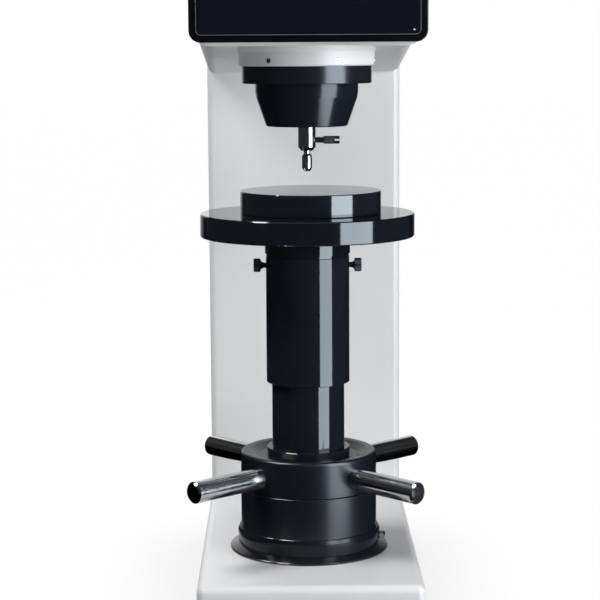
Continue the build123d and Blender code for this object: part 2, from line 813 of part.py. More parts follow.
def drive_motor():
    """Motor hung below the bearing plate."""
    size = motor_flange / 2
    body = upright(motor_radius, plate_bottom - motor_height, plate_bottom)
    flange = block((-size, size), (-size, size), (plate_bottom - motor_flange_height, plate_bottom))
    body += fillet(flange.edges().filter_by(Axis.Z), body_edge)
    body -= upright(shaft_radius + running, plate_bottom - shaft_depth, plate_bottom)
    return Pos(0, motor_offset, 0) * body


# ---- electronics in the column ----
standoff = 10.0
standoff_radius = 3.5
board_height = 1.6
board_width = 130.0
board_rise = 190.0        # base top to the board's lower edge
board_low = base_top + board_rise
board_length = 150.0
sink_width = 40.0
sink_height = 50.0
sink_depth = 22.0
sink_rise = 30.0          # board's lower edge to the heat sink
row_width = 110.0
row_height = 12.0
row_rise = 110.0          # board's lower edge to the connector row
supply_width = 100.0
supply_depth = 42.0
supply_rise = 40.0        # base top to the supply's lower face
supply_low = base_top + supply_rise
supply_length = 120.0
column_floor_y = throat + column_wall


def control_board():
    """Control board on four standoffs with its heat sink and connector row."""
    y = column_floor_y + standoff
    middle = board_low + board_length / 2
    board = window(0, board_width, middle, board_length, (y, y + board_height))
    levels = (board_low + standoff, board_low + board_length - standoff)
    for x, z in at_corners(board_width / 2 - standoff, levels):
        board += lying(standoff_radius, x, (column_floor_y, y), z)
    face = y + board_height
    sink_level = board_low + sink_rise + sink_height / 2
    row_level = board_low + row_rise + row_height / 2
    board += window(0, sink_width, sink_level, sink_height, (face, face + sink_depth))
    return board + window(0, row_width, row_level, row_height, (face, face + row_height))


def power_supply():
    """Closed power supply against the column's front wall."""
    depth = (column_floor_y, column_floor_y + supply_depth)
    return window(0, supply_width, supply_low + supply_length / 2, supply_length, depth)


# ---- elevating screw, capstan and table ----
table_chamfer = 1.0
anvil_chamfer = 0.8
anvil_shank_radius = anvil_bore - anvil_shift - seat
screw_socket_depth = 30.0
lower_washer_low = base_top + housing_floor
roller_level = lower_washer_low + washer_height + roller_radius + seat
upper_washer_low = roller_level + roller_radius + running
nut_low = upper_washer_low + washer_height
nut_flange_thickness = 10.0
hub_lip = 7.0
hub_lip_bore = 29.5
hub_edge = 3.4
sleeve_chamfer = 0.5
collar_chamfer = 0.6
housing_chamfer = 0.5
rod_chamfer = 1.6
dish_slope = 9.0
tube_bore = tube_radius - tube_wall
screw_top = neck_bottom - neck_groove - spigot_height + screw_socket_depth
screw_low = base_top - screw_below
thumb_drop = 9.5          # sleeve's top to its thumb screws
thumb_level = sleeve_top - thumb_drop
thumb_shank = 2.9
thumb_neck_radius = 4.4
thumb_head_radius = 6.35
thumb_head_start = 44.0
thumb_head_end = 50.5
key_width = 7.8
key_depth = 9.5
key_start = screw_radius - keyway_depth + running
groove_radius = 38.8


def anvil():
    """Flat anvil that stands on the table with a loose shank in its bore."""
    low = table_top - anvil_shank_length
    high = table_top + anvil_height
    edge = anvil_radius - anvil_chamfer
    body = turned((0, low), (anvil_shank_radius - 1, low), (anvil_shank_radius, low + 1),
                  (anvil_shank_radius, table_top), (edge, table_top),
                  (anvil_radius, table_top + anvil_chamfer), (anvil_radius, high - anvil_chamfer),
                  (edge, high), (0, high))
    return Pos(anvil_shift, 0, 0) * body


def test_table():
    """Round table with a neck, a spigot for the sleeve and a socket for the screw."""
    bore_floor = table_top - anvil_shank_length - 1
    socket = screw_radius + seat
    edge = table_chamfer
    return turned((anvil_bore, table_top), (table_radius - edge, table_top),
                  (table_radius, table_top - edge), (table_radius, table_bottom + edge),
                  (table_radius - edge, table_bottom), (table_neck_radius, table_bottom),
                  (table_neck_radius, neck_bottom), (groove_radius, neck_bottom),
                  (groove_radius, sleeve_top), (spigot_radius, sleeve_top),
                  (spigot_radius, spigot_bottom), (socket, spigot_bottom), (socket, screw_top),
                  (0, screw_top), (0, bore_floor), (anvil_bore, bore_floor))


def elevating_screw():
    """Elevating screw with a long keyway facing the column."""
    screw = upright(screw_radius, screw_low, screw_top)
    screw = chamfer(screw.edges().filter_by(GeomType.CIRCLE), 1.0)
    width = (-keyway_width / 2, keyway_width / 2)
    return screw - block(width, (screw_radius - keyway_depth, screw_radius), (screw_low, spigot_bottom))


def screw_sleeve():
    """Sleeve clamped to the table's spigot, covering the screw."""
    low = sleeve_top - sleeve_height
    bore = spigot_radius + seat
    edge = sleeve_radius - sleeve_chamfer
    sleeve = turned((bore, low), (edge, low), (sleeve_radius, low + sleeve_chamfer),
                    (sleeve_radius, sleeve_top - sleeve_chamfer), (edge, sleeve_top), (bore, sleeve_top))
    for angle in (0, 180):
        sleeve -= radial(thumb_shank + running, 0, sleeve_radius, thumb_level, angle)
    return sleeve


def thumb_screw(angle):
    """Round-headed thumb screw that clamps the sleeve to the spigot."""
    start = spigot_radius + running
    profile = turned((0, start), (thumb_shank, start), (thumb_shank, sleeve_radius + free),
                     (thumb_neck_radius - 1, sleeve_radius + free), (thumb_neck_radius, thumb_head_start),
                     (thumb_head_radius, thumb_head_start), (thumb_head_radius, thumb_head_end - 0.8),
                     (thumb_head_radius - 0.8, thumb_head_end), (0, thumb_head_end))
    return Pos(0, 0, thumb_level) * Rot(0, 0, angle) * Rot(0, 90, 0) * profile


def lower_tube():
    """Tube round the screw that stands on the hub by its collar."""
    top = hub_dish + tube_height
    collar_top = hub_dish + collar_height
    edge = sleeve_radius - collar_chamfer
    return turned((tube_bore, hub_dish), (sleeve_radius, hub_dish),
                  (sleeve_radius, collar_top - collar_chamfer), (edge, collar_top),
                  (tube_radius, collar_top), (tube_radius, top), (tube_bore, top))


def capstan_hub():
    """Capstan hub with a dished top and four rod sockets."""
    nut_top = hub_dish - hub_lip
    bore = nut_radius + seat
    crest = hub_radius - hub_edge
    outline = [
        Polyline((bore, hub_bottom), (hub_radius - 0.5, hub_bottom), (hub_radius, hub_bottom + 0.5),
                 (hub_radius, hub_top - hub_edge)),
        RadiusArc((hub_radius, hub_top - hub_edge), (crest, hub_top), -hub_edge),
        Polyline((crest, hub_top), (hub_dish_radius, hub_top - 0.4),
                 (hub_dish_radius - dish_slope, hub_dish), (hub_lip_bore, hub_dish),
                 (hub_lip_bore, nut_top), (bore, nut_top), (bore, hub_bottom)),
    ]
    hub = turned(*outline)
    for angle in rod_angles:
        hub -= radial(rod_radius + seat, rod_socket, hub_radius, base_top + rod_level, angle)
    return hub


def capstan_rod(angle):
    """Polished bar of the capstan with a chamfered end."""
    rod = turned((0, rod_socket), (rod_radius, rod_socket), (rod_radius, rod_reach - rod_chamfer),
                 (rod_radius - rod_chamfer, rod_reach), (0, rod_reach))
    return Pos(0, 0, base_top + rod_level) * Rot(0, 0, angle) * Rot(0, 90, 0) * rod


def elevating_nut():
    """Bronze nut that hangs in the hub and runs on the thrust bearing."""
    bore = screw_radius + running
    flange_top = nut_low + nut_flange_thickness
    nut_top = hub_dish - hub_lip
    return turned((bore, nut_low), (nut_flange, nut_low), (nut_flange, flange_top),
                  (nut_radius, flange_top), (nut_radius, nut_top), (bore, nut_top))


def washer(low):
    """Flat washer of the thrust bearing."""
    ring = upright(roller_circle + washer_width / 2, low, low + washer_height)
    return ring - upright(roller_circle - washer_width / 2, low, low + washer_height)


def roller(index):
    """One roller of the thrust bearing, lying on a ray from the screw."""
    start = roller_circle - roller_length / 2
    return radial(roller_radius, start, start + roller_length, roller_level, 360 * index / roller_count)


def screw_housing():
    """Fixed housing of the thrust bearing on the base."""
    inner = housing_radius - housing_wall
    floor = base_top + housing_floor
    top = base_top + housing_height
    return turned((housing_bore, base_top), (housing_radius, base_top),
                  (housing_radius, top - housing_chamfer), (housing_radius - housing_chamfer, top),
                  (inner, top), (inner, floor), (housing_bore, floor))


def screw_guide():
    """Flanged guide bush of the elevating screw with a slot for its key."""
    low = base_top - guide_length
    bore = screw_radius + running
    flange = base_top - guide_flange_height
    bush = turned((bore, low), (guide_radius_outer, low), (guide_radius_outer, flange),
                  (guide_flange_radius, flange), (guide_flange_radius, base_top), (bore, base_top))
    return bush - block((-key_width / 2 - seat, key_width / 2 + seat), (0, key_start + key_depth),
                        (low, flange))


def guide_key():
    """Key in the guide bush that keeps the screw from turning."""
    return block((-key_width / 2, key_width / 2), (key_start, key_start + key_depth),
                 (base_top - guide_length, base_top - guide_flange_height))


# ---- skirt round the housing's foot ----
skirt_radius = 74.8
skirt_rim = 1.4
skirt_slope = 2.0         # level of the flare's outer edge
skirt_neck = 65.3
skirt_step = 66.6
skirt_step_level = 5.4
skirt_height = 21.2
skirt_bevel = 0.6
ring_low = skirt_step_level + free
ring_top = 20.4
ring_waist = 66.5         # the ring's radius at its foot
ring_shoulder = 67.4      # and where it is widest
ring_crown = 66.0         # and at its top
ring_gap = 2.0
clamp_angle = -8.0
clamp_bolt_level = 12.0   # above the base top
ear_reach = 5.4
ear_width = 2.6
ear_half = 2.6            # half the height of an ear
clamp_bolt_radius = 1.4
clamp_bolt_head = 2.4
clamp_bolt_head_height = 1.6


def housing_skirt():
    """Flared rubber skirt that seals the housing to the base."""
    bore = housing_radius + seat
    top = base_top + skirt_height
    step = base_top + skirt_step_level
    return turned((bore, base_top), (skirt_radius, base_top), (skirt_radius, base_top + skirt_rim),
                  (skirt_radius - skirt_bevel, base_top + skirt_slope), (skirt_step, step),
                  (skirt_neck, step), (skirt_neck, top - skirt_bevel), (skirt_neck - skirt_bevel, top),
                  (bore, top))


def clamp_ring():
    """Clamp ring round the skirt's neck with a bulging upper edge, split between two small ears."""
    bore = skirt_neck + seat
    low, high = base_top + ring_low, base_top + ring_top
    shoulder = low + 0.6 * (high - low)
    crown = low + 0.8 * (high - low)
    ring = turned((bore, low), (ring_waist, low), (ring_shoulder, shoulder), (ring_shoulder, crown),
                  (ring_crown, high), (bore, high))
    level = base_top + clamp_bolt_level
    width = ring_gap / 2 + ear_width
    reach = ring_shoulder + ear_reach
    ears = block((ring_waist - 1, reach), (-width, width), (level - ear_half, level + ear_half))
    ears = fillet(ears.edges().filter_by(Axis.Y).group_by(Axis.X)[-1], 0.8 * ear_half)
    ring = Rot(0, 0, -clamp_angle) * ring + ears
    ring -= block((0, reach), (-ring_gap / 2, ring_gap / 2), (low, high))
    ring -= lying(clamp_bolt_radius + seat, reach - ear_reach / 2, (-width, width), level)
    return Rot(0, 0, clamp_angle) * ring


def clamp_screw():
    """Screw that draws the ring's ears together."""
    face = ring_gap / 2 + ear_width
    x = ring_shoulder + ear_reach / 2
    z = base_top + clamp_bolt_level
    screw = lying(clamp_bolt_radius, x, (-face - seat, face), z)
    head = lying(clamp_bolt_head, x, (-face - seat - clamp_bolt_head_height, -face - seat), z)
    return Rot(0, 0, clamp_angle) * (screw + head)


# ---- write every piece ----
save("base_casting", base_casting())
for row, y in zip(("front", "rear"), foot_rows):
    for side, x in (("left", -foot_x), ("right", foot_x)):
        save(f"foot_{row}_{side}", foot(x, y))
save("foot_lock_nuts", *[lock_nut(x, y) for x, y in at_corners(foot_x, foot_rows)])
save("column_casting", column_casting())
bolt_seats = (base_top + column_wall, column_top + head_pocket_floor)
save("frame_bolts", *[frame_bolt(z, x, y) for z in bolt_seats for x, y in at_corners(bolt_x, bolt_rows)])
save("rear_cover", rear_cover())
save("rear_cover_screws", *[rear_cover_screw(x, z) for x in (-cover_screw_x, cover_screw_x)
                            for z in cover_screw_levels])
save("power_inlet", power_inlet())
save("power_switch", power_switch())
save("head_casting", head_casting())
save("head_top_cover", head_top_cover())
save("top_cover_screws", *[lid_screw(side, y) for side in (-1, 1) for y in lid_screw_places])
save("display_bezel", display_bezel())
save("display_glass", display_glass())
save("status_light", status_light())
save("nose_ring", nose_ring())
save("nose_set_screws", *[nose_set_screw(angle) for angle in set_screw_angles])
save("nose_cup", nose_cup())
save("spindle_bush", spindle_bush())
save("spindle", spindle())
save("indenter", indenter())
save("indenter_ball", Pos(0, 0, ball_level) * Sphere(indenter_ball))
save("indenter_screw", indenter_screw())
save("load_cell", load_cell())
save("crosshead", crosshead())
save("crosshead_bushes", *[crosshead_bush(x) for x in (-post_x, post_x)])
save("guide_posts", *[guide_post(x) for x in (-post_x, post_x)])
save("ball_nut", ball_nut())
save("ball_screw", ball_screw())
save("screw_bearing", screw_bearing())
save("bearing_plate", bearing_plate())
save("large_pulley", pulley(large_pulley_radius, large_teeth, journal_radius, 0))
save("small_pulley", pulley(small_pulley_radius, small_teeth, shaft_radius, motor_offset))
save("timing_belt", timing_belt())
save("drive_motor", drive_motor())
save("motor_shaft", upright(shaft_radius, plate_bottom - shaft_depth + free, pulley_top, 0, motor_offset))
save("control_board", control_board())
save("power_supply", power_supply())
save("anvil", anvil())
save("test_table", test_table())
save("elevating_screw", elevating_screw())
save("screw_sleeve", screw_sleeve())
save("sleeve_screw_right", thumb_screw(0))
save("sleeve_screw_left", thumb_screw(180))
save("lower_tube", lower_tube())
save("capstan_hub", capstan_hub())
save("capstan_rods", *[capstan_rod(angle) for angle in rod_angles])
save("elevating_nut", elevating_nut())
save("lower_washer", washer(lower_washer_low))
save("upper_washer", washer(upper_washer_low))
save("thrust_rollers", *[roller(index) for index in range(roller_count)])
save("screw_housing", screw_housing())
save("screw_guide", screw_guide())
save("guide_key", guide_key())
save("housing_skirt", housing_skirt())
save("clamp_ring", clamp_ring())
save("clamp_screw", clamp_screw())
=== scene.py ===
"""Dressed model of a bench hardness tester: studio, finishes and small turned details.

Metres, +Z up, -Y towards the operator. The sections follow the tester as it is put together.
Profiles of turned pieces are written in millimetres.
"""

import math

import bpy
import numpy as np
from mathutils import Euler, Matrix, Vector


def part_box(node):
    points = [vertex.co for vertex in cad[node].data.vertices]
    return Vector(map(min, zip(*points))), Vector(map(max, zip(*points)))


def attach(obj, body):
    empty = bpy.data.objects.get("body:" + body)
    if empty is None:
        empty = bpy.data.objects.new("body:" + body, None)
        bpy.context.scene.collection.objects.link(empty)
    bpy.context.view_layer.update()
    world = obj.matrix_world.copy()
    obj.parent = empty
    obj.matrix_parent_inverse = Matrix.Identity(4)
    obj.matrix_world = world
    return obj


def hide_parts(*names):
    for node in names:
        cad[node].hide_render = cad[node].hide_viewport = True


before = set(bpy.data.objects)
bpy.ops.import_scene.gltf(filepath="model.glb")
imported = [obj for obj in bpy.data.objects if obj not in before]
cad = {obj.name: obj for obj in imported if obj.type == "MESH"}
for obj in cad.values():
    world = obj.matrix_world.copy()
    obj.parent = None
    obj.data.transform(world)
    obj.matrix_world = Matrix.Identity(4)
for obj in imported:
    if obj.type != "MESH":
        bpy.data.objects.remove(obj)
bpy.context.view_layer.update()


# ---- Studio ----
# A pale sweep stands behind the tester. A tall softbox at the right draws the streaks on the black
# steel, a key beside it and a broad softbox high at the left light the coat, and a fill the rear.
# The camera stands 1.7 m in front of the spindle, a little above the table.
axis_y = (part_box("test_table")[0].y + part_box("test_table")[1].y) / 2
camera_place = (-0.0225, axis_y - 1.6987, 0.5811)
camera_pitch = math.radians(90 - 7.876)
camera_yaw = math.radians(-0.515)
camera_roll = math.radians(-0.335)
lens = 109.55
sensor_width = 36.0

view = bpy.data.cameras.new("view")
view.lens = lens
view.sensor_width = sensor_width
camera = bpy.data.objects.new("view", view)
camera.location = camera_place
aimed = Euler((camera_pitch, 0, camera_yaw)).to_matrix() @ Matrix.Rotation(camera_roll, 3, "Z")
camera.rotation_euler = aimed.to_euler()
bpy.context.scene.collection.objects.link(camera)
bpy.context.scene.camera = camera
bpy.context.scene.view_settings.view_transform = "Standard"


def softbox(name, azimuth, distance, height, size, watts, aim, lights=True, mirrored=True, tint=(1, 1, 1)):
    """Area lamp at that azimuth from the operator's side, positive to the right, aimed at a height."""
    turn = math.radians(azimuth)
    data = bpy.data.lights.new(name, "AREA")
    data.shape = "RECTANGLE"
    data.size, data.size_y = size
    data.energy = watts
    data.color = tint
    lamp = bpy.data.objects.new(name, data)
    lamp.location = (distance * math.sin(turn), axis_y - distance * math.cos(turn), height)
    tilt = math.atan2(height - aim, distance)
    lamp.rotation_euler = (math.pi / 2 - tilt, 0, turn)
    lamp.visible_camera = False
    lamp.visible_diffuse = lights
    lamp.visible_glossy = mirrored
    bpy.context.scene.collection.objects.link(lamp)


softbox("strip_right", azimuth=49.5, distance=0.66, height=0.68, size=(0.42, 1.34), watts=18.6, aim=0.68,
        lights=False, tint=(0.80, 0.90, 1.0))
softbox("key_right", azimuth=52, distance=2.2, height=0.60, size=(1.6, 1.2), watts=57.0, aim=0.50,
        mirrored=False)
softbox("high_left", azimuth=-80, distance=1.2, height=2.10, size=(0.9, 0.9), watts=46.0, aim=0.20)
softbox("rear_fill", azimuth=195, distance=1.9, height=1.30, size=(1.3, 1.3), watts=24.0, aim=0.40,
        mirrored=False)


def add(tree, kind, operation=None, second=None, **values):
    """New shader node of that kind, with its operation, its second input and other inputs by name."""
    node = tree.nodes.new("ShaderNode" + kind)
    if operation:
        node.operation = operation
    if second is not None:
        node.inputs[1].default_value = second
    for label, value in values.items():
        node.inputs[label.replace("_", " ")].default_value = value
    return node


# The world is white to the camera, an even dim light on surfaces, and to mirrors dark in front and
# bright straight behind the tester.
room_strength = 0.08
front_strength, rear_strength = 0.028, 0.8
rear_start, rear_full = 0.88, 0.98

world = bpy.data.worlds.new("studio")
bpy.context.scene.world = world
world.use_nodes = True
tree = world.node_tree
tree.nodes.clear()
join = tree.links.new
heading = add(tree, "TexCoord")
split = add(tree, "SeparateXYZ")
behind = add(tree, "MapRange", From_Min=rear_start, From_Max=rear_full, To_Min=front_strength,
             To_Max=rear_strength)
path = add(tree, "LightPath")
mirrored = add(tree, "Math", "MAXIMUM")
room = add(tree, "Mix", A=room_strength)
seen = add(tree, "Mix", B=1.0)
shade = add(tree, "Background", Color=(1, 1, 1, 1))
end = add(tree, "OutputWorld")
join(heading.outputs["Generated"], split.inputs[0])
join(split.outputs["Y"], behind.inputs["Value"])
join(path.outputs["Is Glossy Ray"], mirrored.inputs[0])
join(path.outputs["Is Transmission Ray"], mirrored.inputs[1])
join(mirrored.outputs[0], room.inputs["Factor"])
join(behind.outputs[0], room.inputs["B"])
join(path.outputs["Is Camera Ray"], seen.inputs["Factor"])
join(room.outputs["Result"], seen.inputs["A"])
join(seen.outputs["Result"], shade.inputs["Strength"])
join(shade.outputs[0], end.inputs[0])

# The sweep is a floor, a quarter turn and a wall: y = depth - bend + bend sin a, z = bend - bend cos a.
sweep_side, sweep_depth, sweep_rise = 2.2, 2.4, 2.2
bend, bend_steps = 0.5, 12
angle = np.linspace(0, math.pi / 2, bend_steps)
sweep_y = np.concatenate([[-sweep_depth], sweep_depth - bend + bend * np.sin(angle), [sweep_depth]])
sweep_z = np.concatenate([[0], bend - bend * np.cos(angle), [sweep_rise]])
points = [(x, y, z) for y, z in zip(sweep_y, sweep_z) for x in (-sweep_side, sweep_side)]
faces = [(2 * k, 2 * k + 1, 2 * k + 3, 2 * k + 2) for k in range(len(sweep_y) - 1)]
mesh = bpy.data.meshes.new("sweep")
mesh.from_pydata(points, [], faces)
sweep = bpy.data.objects.new("sweep", mesh)
bpy.context.scene.collection.objects.link(sweep)

# Its paper is nearly white to the camera, with a painted contact shadow under the tester, where ambient
# occlusion lowers the glow the camera sees, and shows mirrors a glow that fades to the sides and to the
# floor. It is clear to a camera that looks from its rear.
sweep_colour = (0.45, 0.45, 0.45, 1)
paper_roughness = 0.9
seen_share = 0.97
painted_shadow_reach, painted_shadow_level, paper_strength = 0.14, 0.66, 1.02
glow_strength, glow_middle, glow_half, glow_end = 1.12, -0.3, 0.3, 1.5
glow_low, glow_high = 0.02, 0.30

paper = bpy.data.materials.new("sweep_paper")
paper.use_nodes = True
tree = paper.node_tree
join = tree.links.new
matte = tree.nodes["Principled BSDF"]
matte.inputs["Base Color"].default_value = sweep_colour
matte.inputs["Roughness"].default_value = paper_roughness
path = add(tree, "LightPath")
mirrored = add(tree, "Math", "MAXIMUM")
direct = add(tree, "Math", "MULTIPLY", second=seen_share)
share = add(tree, "Math", "MAXIMUM")
place = add(tree, "TexCoord")
split = add(tree, "SeparateXYZ")
off = add(tree, "Math", "SUBTRACT", second=glow_middle)
wide = add(tree, "Math", "ABSOLUTE")
flank = add(tree, "MapRange", From_Min=glow_half, From_Max=glow_end, To_Min=glow_strength, To_Max=0.0)
upper = add(tree, "MapRange", From_Min=glow_low, From_Max=glow_high)
behind = add(tree, "Math", "MULTIPLY")
# Painted contact shadow: ambient occlusion darkens the paper's glow to the camera near the tester.
painted_contact_shadow = add(tree, "AmbientOcclusion", Distance=painted_shadow_reach)
painted_shadow_glow = add(tree, "MapRange", To_Min=painted_shadow_level, To_Max=paper_strength)
level = add(tree, "Mix")
glow = add(tree, "Emission")
mix = add(tree, "MixShader")
facing = add(tree, "NewGeometry")
rear = add(tree, "Math", "MULTIPLY")
clear = add(tree, "BsdfTransparent")
open_rear = add(tree, "MixShader")
join(path.outputs["Is Glossy Ray"], mirrored.inputs[0])
join(path.outputs["Is Transmission Ray"], mirrored.inputs[1])
join(path.outputs["Is Camera Ray"], direct.inputs[0])
join(mirrored.outputs[0], share.inputs[0])
join(direct.outputs[0], share.inputs[1])
join(place.outputs["Object"], split.inputs[0])
join(split.outputs["X"], off.inputs[0])
join(off.outputs[0], wide.inputs[0])
join(wide.outputs[0], flank.inputs["Value"])
join(split.outputs["Z"], upper.inputs["Value"])
join(flank.outputs[0], behind.inputs[0])
join(upper.outputs[0], behind.inputs[1])
join(painted_contact_shadow.outputs["AO"], painted_shadow_glow.inputs["Value"])
join(path.outputs["Is Camera Ray"], level.inputs["Factor"])
join(behind.outputs[0], level.inputs["A"])
join(painted_shadow_glow.outputs[0], level.inputs["B"])
join(level.outputs["Result"], glow.inputs["Strength"])
join(share.outputs[0], mix.inputs[0])
join(matte.outputs[0], mix.inputs[1])
join(glow.outputs[0], mix.inputs[2])
join(facing.outputs["Backfacing"], rear.inputs[0])
join(path.outputs["Is Camera Ray"], rear.inputs[1])
join(rear.outputs[0], open_rear.inputs[0])
join(mix.outputs[0], open_rear.inputs[1])
join(clear.outputs[0], open_rear.inputs[2])
join(open_rear.outputs[0], tree.nodes["Material Output"].inputs["Surface"])
mesh.materials.append(paper)


# ---- Base casting and feet ----
# Grey iron casting, open below, with a thick semi-gloss spray coat, which leaves a fine orange
# peel. It stands on four turned steel levelling feet with threaded studs and lock nuts.
coat_grey = (0.62, 0.625, 0.635, 1)
coat_gloss = 0.42
peel_size, peel_depth = 700.0, 0.00002
foot_steel = (0.50, 0.51, 0.53, 1)
per_metre = 1000
sharp_edge = math.radians(32)
upright = (0, 0, 1)
skin_outputs = {"Colour": "Color", "Roughness": "Float", "Normal": "Vector"}


def skin_group(name, inputs):
    """Node group with a skin's outputs and inputs given as name: (type, default)."""
    group = bpy.data.node_groups.new(name, "ShaderNodeTree")
    for label, (kind, default) in inputs.items():
        socket = group.interface.new_socket(label, in_out="INPUT", socket_type="NodeSocket" + kind)
        socket.default_value = default
    for label, kind in skin_outputs.items():
        group.interface.new_socket(label, in_out="OUTPUT", socket_type="NodeSocket" + kind)
    return group, group.nodes.new("NodeGroupInput")


def close_skin(group, given, raised, tone, gloss):
    """Join a skin's outputs: colour times tone, that gloss, and a bump of the given depth from a noise."""
    join = group.links.new
    bump = add(group, "Bump")
    tint = add(group, "VectorMath", "SCALE")
    out = group.nodes.new("NodeGroupOutput")
    join(raised.outputs["Fac"], bump.inputs["Height"])
    join(given.outputs["Depth"], bump.inputs["Distance"])
    join(given.outputs["Colour"], tint.inputs[0])
    join(tone.outputs[0], tint.inputs["Scale"])
    join(tint.outputs[0], out.inputs["Colour"])
    join(gloss.outputs[0], out.inputs["Roughness"])
    join(bump.outputs[0], out.inputs["Normal"])
    return group


def spray_coat():
    """Paint skin: fine noise raises the orange peel and broad noise shifts tone and gloss."""
    group, given = skin_group("spray_coat", {
        "Colour": ("Color", (0.6, 0.6, 0.6, 1)), "Peel": ("Float", peel_size),
        "Depth": ("Float", peel_depth), "Gloss": ("Float", 0.3)})
    join = group.links.new
    place = add(group, "TexCoord")
    peel = add(group, "TexNoise")
    cloud = add(group, "TexNoise", Scale=9.0, Detail=4.0)
    tone = add(group, "MapRange", To_Min=0.965, To_Max=1.035)
    spread = add(group, "MapRange", To_Min=-0.05, To_Max=0.05)
    gloss = add(group, "Math", "ADD")
    join(place.outputs["Object"], peel.inputs["Vector"])
    join(place.outputs["Object"], cloud.inputs["Vector"])
    join(given.outputs["Peel"], peel.inputs["Scale"])
    join(cloud.outputs["Fac"], tone.inputs["Value"])
    join(cloud.outputs["Fac"], spread.inputs["Value"])
    join(given.outputs["Gloss"], gloss.inputs[0])
    join(spread.outputs[0], gloss.inputs[1])
    return close_skin(group, given, peel, tone, gloss)


def turning_marks():
    """Marks of the lathe: noise over the distance from the axis and the height along it gives rings."""
    group, given = skin_group("turning_marks", {
        "Colour": ("Color", (0.5, 0.5, 0.5, 1)), "Axis": ("Vector", (0, 0, 0)),
        "Pitch": ("Float", 1500.0), "Depth": ("Float", 0.00001), "Gloss": ("Float", 0.2),
        "Shift": ("Float", 0.05)})
    join = group.links.new
    place = add(group, "TexCoord")
    off = add(group, "VectorMath", "SUBTRACT")
    split = add(group, "SeparateXYZ")
    flat = add(group, "CombineXYZ")
    far = add(group, "VectorMath", "LENGTH")
    ring = add(group, "CombineXYZ")
    lines = add(group, "TexNoise")
    cloud = add(group, "TexNoise", Scale=22.0, Detail=5.0)
    tone = add(group, "MapRange", To_Min=0.85, To_Max=1.15)
    centred = add(group, "Math", "SUBTRACT", second=0.5)
    worn = add(group, "Math", "MULTIPLY")
    gloss = add(group, "Math", "ADD")
    join(place.outputs["Object"], off.inputs[0])
    join(given.outputs["Axis"], off.inputs[1])
    join(off.outputs[0], split.inputs[0])
    join(split.outputs["X"], flat.inputs["X"])
    join(split.outputs["Y"], flat.inputs["Y"])
    join(flat.outputs[0], far.inputs[0])
    join(far.outputs["Value"], ring.inputs["X"])
    join(split.outputs["Z"], ring.inputs["Z"])
    join(ring.outputs[0], lines.inputs["Vector"])
    join(given.outputs["Pitch"], lines.inputs["Scale"])
    join(place.outputs["Object"], cloud.inputs["Vector"])
    join(cloud.outputs["Fac"], tone.inputs["Value"])
    join(cloud.outputs["Fac"], centred.inputs[0])
    join(centred.outputs[0], worn.inputs[0])
    join(given.outputs["Shift"], worn.inputs[1])
    join(worn.outputs[0], gloss.inputs[0])
    join(given.outputs["Gloss"], gloss.inputs[1])
    return close_skin(group, given, lines, tone, gloss)


paint_skin = spray_coat()
lathe_skin = turning_marks()


def finish(name, skin, values, **fixed):
    """Material whose colour, roughness and normal come from a skin group, with fixed shader values."""
    material = bpy.data.materials.new(name)
    material.use_nodes = True
    tree = material.node_tree
    shader = tree.nodes["Principled BSDF"]
    group = tree.nodes.new("ShaderNodeGroup")
    group.node_tree = skin
    for label, value in values.items():
        group.inputs[label].default_value = value
    tree.links.new(group.outputs["Colour"], shader.inputs["Base Color"])
    tree.links.new(group.outputs["Roughness"], shader.inputs["Roughness"])
    tree.links.new(group.outputs["Normal"], shader.inputs["Normal"])
    for label, value in fixed.items():
        shader.inputs[label.replace("_", " ")].default_value = value
    return material


def dress(material, *names):
    """Give CAD nodes this material in place of their plain one."""
    for name in names:
        mesh = cad[name].data
        mesh.materials.clear()
        mesh.materials.append(material)


def axis_of(name):
    """Upright axis through the middle of a node."""
    low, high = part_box(name)
    return ((low.x + high.x) / 2, (low.y + high.y) / 2, 0)


def axes_along(direction):
    """Right-handed set of axes, one to a column, whose third one is the given direction."""
    along = np.array(direction, float)
    along /= np.linalg.norm(along)
    side = np.cross((0, 0, 1) if abs(along[2]) < 0.9 else (1, 0, 0), along)
    side /= np.linalg.norm(side)
    return np.stack([side, np.cross(along, side), along], axis=1)


def ring_stack(name, stack, places, material, body, *nodes):
    """Closed solid of stacked rings, repeated at (middle, direction) places, in place of CAD nodes.

    Row i, column j: x = r[i, j] cos a[j], y = r[i, j] sin a[j], z = level[i], with a pole at each end.
    """
    radius, level = stack
    rows, columns = radius.shape
    angle = np.arange(columns) * 2 * math.pi / columns
    height = np.repeat(level[:, None], columns, 1)
    grid = np.stack([radius * np.cos(angle), radius * np.sin(angle), height], -1)
    rings = np.concatenate([grid.reshape(-1, 3), [(0, 0, level[0]), (0, 0, level[-1])]])
    index = np.arange(rows * columns).reshape(rows, columns)
    after = np.roll(index, -1, axis=1)
    walls = np.stack([index[:-1], after[:-1], after[1:], index[1:]], -1).reshape(-1, 4)
    first_pole = np.full(columns, rows * columns)
    first_cap = np.stack([first_pole, after[0], index[0]], -1)
    last_cap = np.stack([first_pole + 1, index[-1], after[-1]], -1)
    caps = np.concatenate([first_cap, last_cap])
    points, faces = [], []
    for turn, (middle, direction) in enumerate(places):
        points.append(rings @ axes_along(direction).T + np.array(middle))
        faces += (walls + turn * len(rings)).tolist() + (caps + turn * len(rings)).tolist()
    mesh = bpy.data.meshes.new(name)
    mesh.from_pydata(np.concatenate(points).tolist(), [], faces)
    mesh.materials.append(material)
    mesh.shade_smooth()
    mesh.set_sharp_from_angle(angle=sharp_edge)
    piece = bpy.data.objects.new(name, mesh)
    bpy.context.scene.collection.objects.link(piece)
    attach(piece, body)
    if nodes:
        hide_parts(*nodes)
    return piece


def turned_rows(profile, columns):
    """Radius and level rows of a plain profile, given in millimetres as (radius, level)."""
    radius, level = np.array(profile).T / per_metre
    return np.repeat(radius[:, None], columns, 1), level


